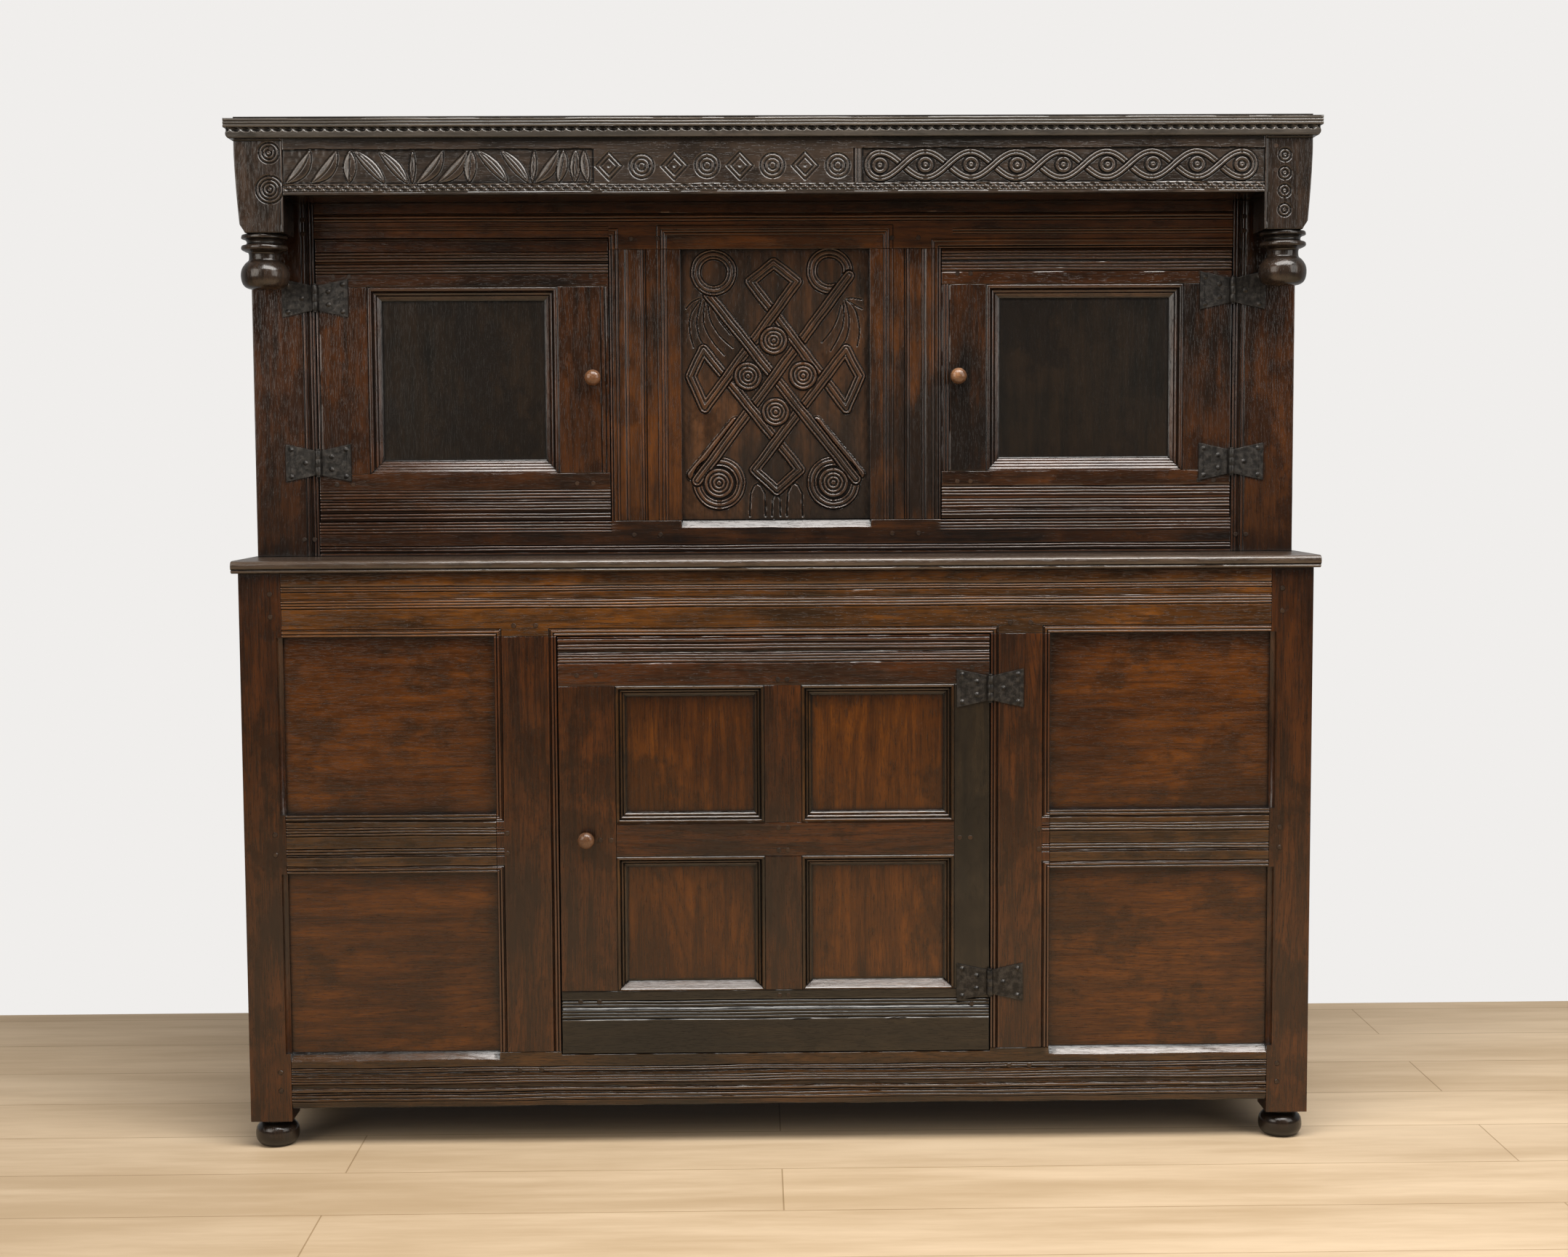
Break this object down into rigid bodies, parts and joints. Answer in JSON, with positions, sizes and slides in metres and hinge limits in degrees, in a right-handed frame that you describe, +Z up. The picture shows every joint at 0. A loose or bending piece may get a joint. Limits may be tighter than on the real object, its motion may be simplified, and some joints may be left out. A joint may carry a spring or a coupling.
{
  "type": "court cupboard",
  "caption": "Joined oak court cupboard with a recessed upper stage, hinged panelled doors with turning catches, a carved centre panel, corner pendants and bun feet.",
  "frame": {"origin": "on the floor, under the middle of the whole cupboard's box", "axes": "+X to the right as the front is faced, +Y from the front to the back, +Z upwards"},
  "size_m": [1.726, 0.575, 1.641],
  "materials": {
    "lower_oak": "dark waxed oak of the lower frame",
    "panel_oak": "waxed oak panels, warmer and lighter than the frame",
    "side_oak": "dark waxed oak of the sides",
    "inner_oak": "dry unpolished oak boards",
    "upper_oak": "near-black waxed oak of the upper stage",
    "peg_oak": "riven oak pegs",
    "knob_wood": "turned and polished wood",
    "iron": "blackened wrought iron"
  },
  "bodies": {
    "carcass": {"front_posts": "lower_oak", "front_feet": "lower_oak", "bottom_rail": "lower_oak", "waist_rail": "lower_oak", "lower_muntins": "lower_oak", "mid_rails": "lower_oak", "front_panels": "panel_oak", "rear_posts": "side_oak", "rear_rails": "inner_oak", "side_rails": "side_oak", "side_panels": "panel_oak", "back_boards": "inner_oak", "bottom_boards": "inner_oak", "ledge": "lower_oak", "deck_boards": "inner_oak", "upper_stiles": "upper_oak", "upper_bottom_rail": "upper_oak", "head_rail": "upper_oak", "upper_muntins": "upper_oak", "carved_panel": "upper_oak", "door_stops": "inner_oak", "frieze_posts": "upper_oak", "frieze_rail": "upper_oak", "pendants": "upper_oak", "soffit_board": "inner_oak", "front_cornice": "upper_oak", "side_cornices": "upper_oak", "top_boards": "inner_oak", "frame_pegs": "peg_oak", "frame_leaves": "iron", "hinge_pins": "iron", "frame_nails": "iron"},
    "upper_left_door": {"upper_left_door_stiles": "upper_oak", "upper_left_door_rails": "upper_oak", "upper_left_door_panel": "upper_oak", "upper_left_door_moulding": "upper_oak", "upper_left_door_leaves": "iron", "upper_left_door_nails": "iron", "upper_left_door_pegs": "peg_oak"},
    "upper_left_catch": {"upper_left_door_knob": "knob_wood", "upper_left_door_catch": "knob_wood"},
    "upper_right_door": {"upper_right_door_stiles": "upper_oak", "upper_right_door_rails": "upper_oak", "upper_right_door_panel": "upper_oak", "upper_right_door_moulding": "upper_oak", "upper_right_door_leaves": "iron", "upper_right_door_nails": "iron", "upper_right_door_pegs": "peg_oak"},
    "upper_right_catch": {"upper_right_door_knob": "knob_wood", "upper_right_door_catch": "knob_wood"},
    "lower_door": {"lower_door_stiles": "lower_oak", "lower_door_rails": "lower_oak", "lower_door_muntins": "lower_oak", "lower_door_panels": "panel_oak", "lower_door_moulding": "lower_oak", "lower_door_leaves": "iron", "lower_door_nails": "iron", "lower_door_pegs": "peg_oak"},
    "lower_catch": {"lower_door_knob": "knob_wood", "lower_door_catch": "knob_wood"}
  },
  "joints": [
    {"name": "upper_left_door_hinge", "type": "hinge", "parent": "carcass", "child": "upper_left_door", "pos_m": [-0.74725, -0.1208, 1.2325], "axis": [0, 0, -1], "range_deg": [0, 100]},
    {"name": "upper_right_door_hinge", "type": "hinge", "parent": "carcass", "child": "upper_right_door", "pos_m": [0.74725, -0.1208, 1.2335], "axis": [0, 0, 1], "range_deg": [0, 100]},
    {"name": "lower_door_hinge", "type": "hinge", "parent": "carcass", "child": "lower_door", "pos_m": [0.33625, -0.2628, 0.5], "axis": [0, 0, 1], "range_deg": [0, 110]},
    {"name": "upper_left_catch_turn", "type": "hinge", "parent": "upper_left_door", "child": "upper_left_catch", "pos_m": [-0.2975, -0.1155, 1.235], "axis": [0, -1, 0], "range_deg": [0, 90]},
    {"name": "upper_right_catch_turn", "type": "hinge", "parent": "upper_right_door", "child": "upper_right_catch", "pos_m": [0.2975, -0.1155, 1.235], "axis": [0, 1, 0], "range_deg": [0, 90]},
    {"name": "lower_catch_turn", "type": "hinge", "parent": "lower_door", "child": "lower_catch", "pos_m": [-0.3065, -0.2575, 0.5], "axis": [0, 1, 0], "range_deg": [0, 90]}
  ]
}
